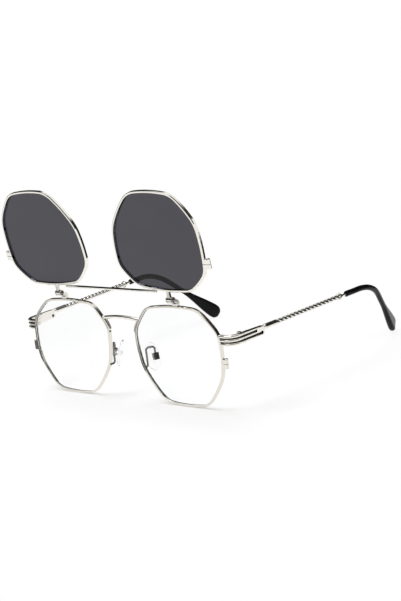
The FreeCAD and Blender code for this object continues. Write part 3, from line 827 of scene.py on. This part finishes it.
@dataclass
class TwistedWire:
    """The twisted pair of strands between a temple's neck and its collar."""

    length: float = 48.0 * MM
    lead: float = 5.7 * MM
    outer_radius: float = 1.2 * MM
    strand_radius: float = 0.82 * MM
    splay: float = 3.3
    rings_per_turn: float = 30.0
    section_points: int = 48
    crease_radians: float = 0.5

    def section(self, tree: Tree) -> Socket:
        """Draw the outline of two strands side by side, which carries its reach from the middle.

        Args:
            tree: The tree to add to.

        Returns:
            The closed curve.
        """
        circle = tree.add("GeometryNodeCurvePrimitiveCircle", {
            "Resolution": self.section_points, "Radius": 1.0,
        }).outputs[0]
        spot = tree.add("GeometryNodeInputPosition").outputs[0]
        parts = tree.split(spot)
        offset = tree.math("MULTIPLY", tree.math("ABSOLUTE", parts["X"]), tree.size["Spread"])
        aside = tree.math("MULTIPLY", parts["Y"], tree.size["Spread"])
        radius_square = tree.math("POWER", tree.size["Strand Radius"], 2.0)
        inner = tree.math("SUBTRACT", radius_square, tree.math("POWER", aside, 2.0))
        reach = tree.math("ADD", offset, tree.math("SQRT", inner))
        marked = tree.add("GeometryNodeStoreNamedAttribute", {
            "Geometry": circle, "Name": "reach", "Value": reach,
        }, data_type="FLOAT", domain="POINT").outputs[0]
        moved = tree.add("ShaderNodeVectorMath", {0: spot, "Scale": reach}, operation="SCALE").outputs[0]
        return tree.add("GeometryNodeSetPosition", {"Geometry": marked, "Position": moved}).outputs[0]

    def tree(self, start: Vector, end: Vector, hand: int) -> Tree:
        """Turn the strands' section along the temple.

        Args:
            start: The strands' first point.
            end: Their last point.
            hand: The way that they turn.

        Returns:
            The tree.
        """
        tree = Tree("twisted_wire", {
            "Start": tuple(start),
            "End": tuple(end),
            "Lead": self.lead,
            "Strand Radius": self.strand_radius,
            "Spread": self.outer_radius - self.strand_radius,
        })
        size = tree.size
        ends = {"Start": size["Start"], "End": size["End"]}
        line = tree.add("GeometryNodeCurvePrimitiveLine", ends).outputs[0]
        rings = int(self.length / self.lead * self.rings_per_turn)
        spine = tree.add("GeometryNodeResampleCurve", {"Curve": line, "Count": rings}).outputs[0]
        along = tree.add("GeometryNodeSplineParameter").outputs["Length"]
        turns = tree.math("DIVIDE", along, size["Lead"])
        tilt = tree.math("MULTIPLY", turns, hand * math.tau)
        spine = tree.add("GeometryNodeSetCurveTilt", {"Curve": spine, "Tilt": tilt}).outputs[0]
        skin = tree.add("GeometryNodeCurveToMesh", {
            "Curve": spine, "Profile Curve": self.section(tree), "Fill Caps": True,
        }).outputs[0]
        smooth = tree.add("GeometryNodeSetShadeSmooth", {"Geometry": skin, "Shade Smooth": True})
        bend = tree.add("GeometryNodeInputMeshEdgeAngle").outputs["Unsigned Angle"]
        creased = tree.add("GeometryNodeSetShadeSmooth", {
            "Geometry": smooth.outputs[0],
            "Selection": tree.math("GREATER_THAN", bend, self.crease_radians),
            "Shade Smooth": False,
        }, domain="EDGE").outputs[0]
        tree.close(creased, Finish.TWISTED_SILVER)
        return tree

    def build(self, side: Side) -> None:
        """Make one temple's wire.

        Args:
            side: The temple's side.
        """
        node = "temple_twist" + side.suffix
        low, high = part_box(node)
        middle = (Vector(low) + Vector(high)) / 2
        splay = math.radians(self.splay)
        way = Vector((side.value * math.sin(splay), math.cos(splay), 0.0))
        half = way * (self.length / 2)
        mesh = self.tree(middle - half, middle + half, side.value).grow(bpy.data.meshes.new("empty"))
        add_piece("twisted_wire" + side.suffix, mesh, side.word + "_temple", [node])


@dataclass
class NosePad:
    """A clear moulded pad: a pillow with an eye for its pivot screw."""

    length: float = 13.6 * MM
    width: float = 7.6 * MM
    thickness: float = 2.0 * MM
    lug_reach: float = 1.5 * MM
    lug_width: float = 1.4 * MM
    lug_radius: float = 0.8 * MM
    eye_radius: float = 0.44 * MM
    splay: float = 25.0
    lean: float = 15.0
    pillow_power: float = 2.5
    taper_share: float = 0.10
    dish: float = 0.25 * MM
    rings: int = 18
    points: int = 56

    def bridged(self, shape: bmesh.types.BMesh, rows: list[list[bmesh.types.BMVert]]) -> None:
        """Join each closed row of points to the next one by faces.

        Args:
            shape: The shape to add to.
            rows: The rows, in order.
        """
        for row, following in zip(rows, rows[1:]):
            for step in range(self.points):
                nearby = (step + 1) % self.points
                shape.faces.new((row[step], row[nearby], following[nearby], following[step]))

    def pillow(self, shape: bmesh.types.BMesh) -> None:
        """Add the pillow: rings that swell between its two faces.

        Args:
            shape: The shape to add to.
        """
        power = 2.0 / self.pillow_power
        rows = []
        for ring in range(1, self.rings):
            angle = math.pi * ring / self.rings
            swell = abs(math.sin(angle)) ** power
            depth = math.copysign(abs(math.cos(angle)) ** power, math.cos(angle))
            hollow = self.dish * max(0.0, -depth) * (1.0 - swell ** 2)
            x = -(self.lug_reach + self.thickness / 2) + depth * self.thickness / 2 + hollow
            row = []
            for step in range(self.points):
                turn = math.tau * step / self.points
                along = swell * math.sin(turn)
                across = swell * math.cos(turn) * (1.0 - self.taper_share * along)
                row.append(shape.verts.new((x, across * self.width / 2, along * self.length / 2)))
            rows.append(row)
        self.bridged(shape, rows)
        shape.faces.new(rows[0])
        shape.faces.new(rows[-1])

    def lug(self, shape: bmesh.types.BMesh) -> None:
        """Add the lug: a plate with a round end and a round eye.

        Args:
            shape: The shape to add to.
        """
        sunk = self.lug_reach + self.thickness / 2
        loops: list[list[bmesh.types.BMVert]] = [[], [], [], []]
        for step in range(self.points):
            turn = math.tau * step / self.points
            ahead, up = math.cos(turn), math.sin(turn)
            reach = self.lug_radius
            if ahead < 0.0:
                flat = self.lug_radius / max(abs(up), TINY)
                reach = min(flat, sunk / max(-ahead, TINY))
            edges = ((reach, -1), (reach, 1), (self.eye_radius, 1), (self.eye_radius, -1))
            for loop, (radius, face) in zip(loops, edges):
                place = (ahead * radius, face * self.lug_width / 2, up * radius)
                loop.append(shape.verts.new(place))
        self.bridged(shape, loops + loops[:1])

    def build(self, frame: Frame, side: Side) -> None:
        """Make one pad and let it stand for the CAD pad.

        Args:
            frame: The loaded frame.
            side: The pad's side.
        """
        body = side.word + "_pad"
        pivot = next(Vector(joint["pos_m"]) for joint in frame["joints"] if joint["child"] == body)
        shape = bmesh.new()
        self.pillow(shape)
        self.lug(shape)
        splayed = Matrix.Rotation(math.radians(-self.splay), 4, "Z")
        leant = Matrix.Rotation(math.radians(-self.lean), 4, "Y")
        moved = Matrix.Translation((pivot.x * side.value, pivot.y, pivot.z))
        mirrored = Matrix.Scale(side.value, 4, (1.0, 0.0, 0.0))
        bmesh.ops.transform(shape, matrix=mirrored @ moved @ splayed @ leant, verts=shape.verts)
        bmesh.ops.recalc_face_normals(shape, faces=shape.faces)
        for face in shape.faces:
            face.smooth = True
        mesh = finished_mesh("pad" + side.suffix, shape, Finish.SILICONE.material())
        add_piece("clear_pad" + side.suffix, mesh, body, ["nose_pad" + side.suffix])


@dataclass
class ThinLens:
    """A tinted lens that fills only the rear of its rim, so that the rim's wall shows round it."""

    kept: float = 0.6 * MM
    merge: float = 0.001 * MM

    def build(self, frame: Frame, side: Side) -> None:
        """Set back the front face of the CAD lens and let the result stand for it.

        Args:
            frame: The loaded frame.
            side: The lens's side.
        """
        node = "sun_lens" + side.suffix
        shape = bmesh.new()
        shape.from_mesh(frame["nodes"][node].data)
        bmesh.ops.remove_doubles(shape, verts=shape.verts, dist=self.merge)
        forward = [face for face in shape.faces if face.normal.y < 0.0]
        ahead = max(forward, key=lambda face: face.calc_area()).normal.copy()
        reach = [vert.co.dot(ahead) for vert in shape.verts]
        back, front = min(reach), max(reach)
        middle = (back + front) / 2
        setback = (front - back) - self.kept
        for vert in shape.verts:
            share = max(0.0, vert.co.dot(ahead) - middle) / (front - middle)
            vert.co -= ahead * (setback * share)
        mesh = finished_mesh("thin_lens" + side.suffix, shape, Finish.SMOKE.material())
        add_piece("thin_lens" + side.suffix, mesh, "flip_front", [node])


LOCK_SCREW = ScrewSize(shaft_radius=0.45 * MM, head_radius=0.8 * MM, head_height=0.4 * MM)
HINGE_SCREW = ScrewSize(shaft_radius=0.55 * MM, head_radius=0.95 * MM, head_height=0.4 * MM)
PAD_SCREW = ScrewSize(shaft_radius=0.4 * MM, head_radius=0.65 * MM, head_height=0.3 * MM)


@dataclass
class ClearFront:
    """Rims, clear lenses, bridge, nose pads, end pieces and brackets."""

    lock_screw: ScrewSize = LOCK_SCREW
    hinge_screw: ScrewSize = HINGE_SCREW
    pad_screw: ScrewSize = PAD_SCREW
    pad: NosePad = field(default_factory=NosePad)

    def dress(self, frame: Frame) -> None:
        """Give the clear front's nodes their finishes.

        Args:
            frame: The loaded frame.
        """
        metal = both("rim", "rim_lock_upper", "rim_lock_lower", "flip_bracket", "hinge_front_leaf")
        dress(frame, metal, Finish.FRONT_SILVER)
        dress(frame, ["bridge"], Finish.FLIP_SILVER)
        # Pad arms and pad boxes wear silver darkened as a painted dark reflection.
        dress(frame, both("nose_pad_arm", "nose_pad_box"), Finish.DARK_NICKEL)
        dress(frame, both("end_piece"), Finish.RIBBED_SILVER)
        dress(frame, ["rim_lock_screws", "nose_pad_screws", "temple_hinge_screws"], Finish.STEEL)
        # Hinge pins wear silver darkened as a painted dark reflection.
        dress(frame, ["flip_hinge_pins"], Finish.DARK_NICKEL)
        dress(frame, both("clear_lens"), Finish.CLEAR)
        dress(frame, both("nose_pad"), Finish.SILICONE)

    def build(self, frame: Frame) -> None:
        """Make the screws and the pads that stand for plain solids.

        Args:
            frame: The loaded frame.
        """
        SlottedScrews("rim_lock_screws", "front_frame", UPWARD, self.lock_screw).build(frame)
        SlottedScrews("temple_hinge_screws", "front_frame", UPWARD, self.hinge_screw).build(frame)
        splay = math.radians(self.pad.splay)
        axis = (math.sin(splay), math.cos(splay), 0.0)
        SlottedScrews(
            "nose_pad_screws", "front_frame", axis, self.pad_screw, mirrored_axis=True,
        ).build(frame)
        for side in Side:
            self.pad.build(frame, side)


@dataclass
class TintedFront:
    """Everything that flips up."""

    open_angle: float = 171.0
    lock_screw: ScrewSize = LOCK_SCREW
    lens: ThinLens = field(default_factory=ThinLens)

    def dress(self, frame: Frame) -> None:
        """Give the tinted front's nodes their finishes.

        Args:
            frame: The loaded frame.
        """
        dress(frame, both("flip_lock_upper", "flip_lock_lower", "flip_knuckle"), Finish.FLIP_SILVER)
        dress(frame, ["flip_bar"], Finish.BAR_SILVER)
        dress(frame, both("flip_rim"), Finish.FLIP_RIM_SILVER)
        dress(frame, ["flip_lock_screws"], Finish.STEEL)
        dress(frame, both("sun_lens"), Finish.SMOKE)

    def build(self, frame: Frame) -> None:
        """Make the screws and the thin lenses that stand for plain solids.

        Args:
            frame: The loaded frame.
        """
        for side in Side:
            self.lens.build(frame, side)
        tilt = math.radians(self.open_angle)
        axis = (0.0, math.sin(tilt), math.cos(tilt))
        SlottedScrews("flip_lock_screws", "flip_front", axis, self.lock_screw).build(frame)


@dataclass
class Temples:
    """The two folding sides."""

    wire: TwistedWire = field(default_factory=TwistedWire)

    def dress(self, frame: Frame) -> None:
        """Give the temples' nodes their finishes.

        Args:
            frame: The loaded frame.
        """
        metal = both("hinge_rear_leaf", "temple_neck", "temple_twist", "temple_collar", "temple_core")
        dress(frame, metal, Finish.TEMPLE_SILVER)
        dress(frame, both("temple_plate"), Finish.RIBBED_SILVER)
        dress(frame, both("temple_tip"), Finish.ACETATE)

    def build(self) -> None:
        """Make the twisted wires that stand for their solids."""
        for side in Side:
            self.wire.build(side)


@dataclass(frozen=True)
class Card:
    """An upright curved card that shows only in polished surfaces, as the dark lines there."""

    name: str
    radius: float
    first_angle: float
    last_angle: float
    foot: float
    top: float
    middle: tuple[float, float] = (0.0, 0.0)
    dark: Triple = (0.012, 0.012, 0.012)
    light: Triple = (0.06, 0.055, 0.05)
    patch_scale: float = 8.0
    patch_detail: float = 1.0
    fade_share: float = 0.25
    through_glass: bool = False
    least_mirrored: float = 0.5
    steps: int = 40

    def material(self) -> bpy.types.Material:
        """Build the card's patchy tone, clear at its top and to rays that no mirror has turned.

        Returns:
            The material.
        """
        material, graph = new_material(self.name)
        patches = noise(graph, self.patch_scale, detail=self.patch_detail)
        paint = graph.add("ShaderNodeEmission", {"Color": tint(graph, patches, self.dark, self.light)})
        height = graph.split(graph.coordinates()["Object"])["Z"]
        fade_foot = self.top - (self.top - self.foot) * self.fade_share
        fade = graph.ramp(height, fade_foot, self.top, smooth=True)
        path = graph.light_path()
        mirrored = graph.math("SUBTRACT", path["Ray Depth"], path["Transmission Depth"])
        unseen = graph.math("MAXIMUM", fade, graph.math("LESS_THAN", mirrored, self.least_mirrored))
        graph.surface(graph.blend(unseen, paint, graph.add("ShaderNodeBsdfTransparent")))
        return material

    def build(self) -> None:
        """Stand the card beside the glasses."""
        shape = bmesh.new()
        columns = []
        for step in range(self.steps + 1):
            turned = (self.last_angle - self.first_angle) * step / self.steps
            angle = math.radians(self.first_angle + turned)
            x = self.middle[0] + self.radius * math.cos(angle)
            y = self.middle[1] + self.radius * math.sin(angle)
            columns.append([shape.verts.new((x, y, z)) for z in (self.foot, self.top)])
        for (low, high), (next_low, next_high) in zip(columns, columns[1:]):
            shape.faces.new((low, next_low, next_high, high))
        card = add_object(self.name, finished_mesh(self.name, shape, self.material()))
        card.visible_camera = False
        card.visible_diffuse = False
        card.visible_transmission = self.through_glass
        card.visible_shadow = False


@dataclass
class Studio:
    """Pale floor, white surroundings, dark cards, a soft lamp and the camera."""

    floor_radius: float = 1.2
    floor_segments: int = 96
    floor_tone: float = 0.80
    floor_glow: float = 0.25
    fade_middle: Triple = (0.0, -0.05, 0.0)
    fade_from: float = 0.07
    fade_to: float = 0.16
    sky_light: float = 0.60
    dark_cards: tuple[Card, ...] = (
        Card("back_card", radius=0.30, first_angle=80.0, last_angle=190.0, foot=-0.01, top=0.45),
        Card("right_card", radius=0.21, first_angle=20.0, last_angle=80.0, foot=0.0005, top=0.36,
             through_glass=True),
        Card("upper_card", radius=0.60, first_angle=185.0, last_angle=385.0, foot=0.125, top=0.75),
    )
    front_arcs: tuple[tuple[float, float], ...] = ((258.0, 268.6), (272.4, 276.4))
    lamp_power: float = 5.0
    lamp_size: float = 0.7
    lamp_place: Triple = (-0.25, -0.15, 1.0)
    camera_aim: Triple = (26.223 * MM, -36.344 * MM, 42.832 * MM)
    camera_distance: float = 643.3 * MM
    camera_azimuth: float = 41.153
    camera_elevation: float = 12.75
    camera_roll: float = -7.225
    camera_lens_mm: float = 80.863
    camera_sensor_mm: float = 36.0
    camera_clip: float = 0.01

    def white_share(self, graph: Graph) -> Socket:
        """One where a ray comes from the camera, a mirror or glass, and zero elsewhere.

        Args:
            graph: The graph to add to.

        Returns:
            The share.
        """
        path = graph.light_path()
        seen = graph.math("ADD", path["Is Camera Ray"], path["Is Glossy Ray"])
        return graph.math("MINIMUM", graph.math("ADD", seen, path["Is Transmission Ray"]), 1.0)

    def sky(self) -> None:
        """White surroundings that light the glasses at a plain level."""
        world = bpy.data.worlds.new("white_room")
        world.use_nodes = True
        graph = Graph(world.node_tree)
        strength = graph.ramp(self.white_share(graph), 0.0, 1.0, self.sky_light, 1.0)
        glow = graph.add("ShaderNodeBackground", {"Color": (*WHITE, 1.0), "Strength": strength})
        graph.add("ShaderNodeOutputWorld", {"Surface": glow.outputs["Background"]})
        bpy.context.scene.world = world

    def floor(self) -> None:
        """Round pale floor that fades into the white surroundings."""
        material, graph = new_material("pale_floor")
        tone = (*shaded(WHITE, self.floor_tone), 1.0)
        paint = graph.add("ShaderNodeBsdfDiffuse", {"Color": tone})
        share = self.white_share(graph)
        glow_strength = graph.math("MULTIPLY", share, self.floor_glow)
        glow = graph.add("ShaderNodeEmission", {"Strength": glow_strength})
        lit = graph.add("ShaderNodeAddShader", {0: paint.outputs[0], 1: glow.outputs[0]})
        away = graph.vector("DISTANCE", graph.coordinates()["Object"], self.fade_middle)
        fade = graph.ramp(away, self.fade_from, self.fade_to, smooth=True)
        white = graph.add("ShaderNodeEmission", {"Strength": share})
        graph.surface(graph.blend(graph.math("MULTIPLY", fade, share), lit, white))
        shape = bmesh.new()
        bmesh.ops.create_circle(
            shape, cap_ends=True, segments=self.floor_segments, radius=self.floor_radius,
        )
        add_object("floor", finished_mesh("floor", shape, material))

    def cards(self) -> None:
        """Dark cards behind, beside and above the glasses and low grey ones in front."""
        for card in self.dark_cards:
            card.build()
        for index, (first, last) in enumerate(self.front_arcs):
            Card(
                f"front_card_{index}", radius=0.505, first_angle=first, last_angle=last, foot=0.0005,
                top=0.042, middle=(-0.05, 0.40), dark=(0.08, 0.08, 0.08), light=(0.24, 0.235, 0.23),
                patch_scale=40.0, fade_share=0.6,
            ).build()

    def lamps(self) -> None:
        """One wide soft lamp overhead."""
        data = bpy.data.lights.new("overhead_softbox", "AREA")
        data.shape = "DISK"
        data.size = self.lamp_size
        data.energy = self.lamp_power
        lamp = add_object("overhead_softbox", data)
        lamp.location = self.lamp_place
        lamp.rotation_mode = "QUATERNION"
        lamp.rotation_quaternion = (-Vector(self.lamp_place)).to_track_quat("-Z", "Y")

    def camera(self) -> None:
        """Camera at the photograph's place, turn and focal length."""
        azimuth = math.radians(self.camera_azimuth)
        elevation = math.radians(self.camera_elevation)
        away = Vector((
            math.sin(azimuth) * math.cos(elevation),
            -math.cos(azimuth) * math.cos(elevation),
            math.sin(elevation),
        ))
        data = bpy.data.cameras.new("camera")
        data.lens = self.camera_lens_mm
        data.sensor_width = self.camera_sensor_mm
        data.clip_start = self.camera_clip
        camera = add_object("camera", data)
        camera.location = Vector(self.camera_aim) + away * self.camera_distance
        camera.rotation_mode = "QUATERNION"
        roll = Quaternion(UPWARD, math.radians(self.camera_roll))
        camera.rotation_quaternion = (-away).to_track_quat("-Z", "Y") @ roll
        bpy.context.scene.camera = camera

    def build(self) -> None:
        """Set the view transform and place everything round the glasses."""
        bpy.context.scene.view_settings.view_transform = "Standard"
        self.sky()
        self.floor()
        self.cards()
        self.lamps()
        self.camera()


def main() -> None:
    """Dress the frame and build the studio."""
    logging.basicConfig(level=logging.INFO, format="%(name)s: %(message)s")
    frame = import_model()
    clear_front, tinted_front, temples = ClearFront(), TintedFront(), Temples()
    clear_front.dress(frame)
    clear_front.build(frame)
    tinted_front.dress(frame)
    tinted_front.build(frame)
    temples.dress(frame)
    temples.build()
    Studio().build()


if __name__ == "__main__":
    main()
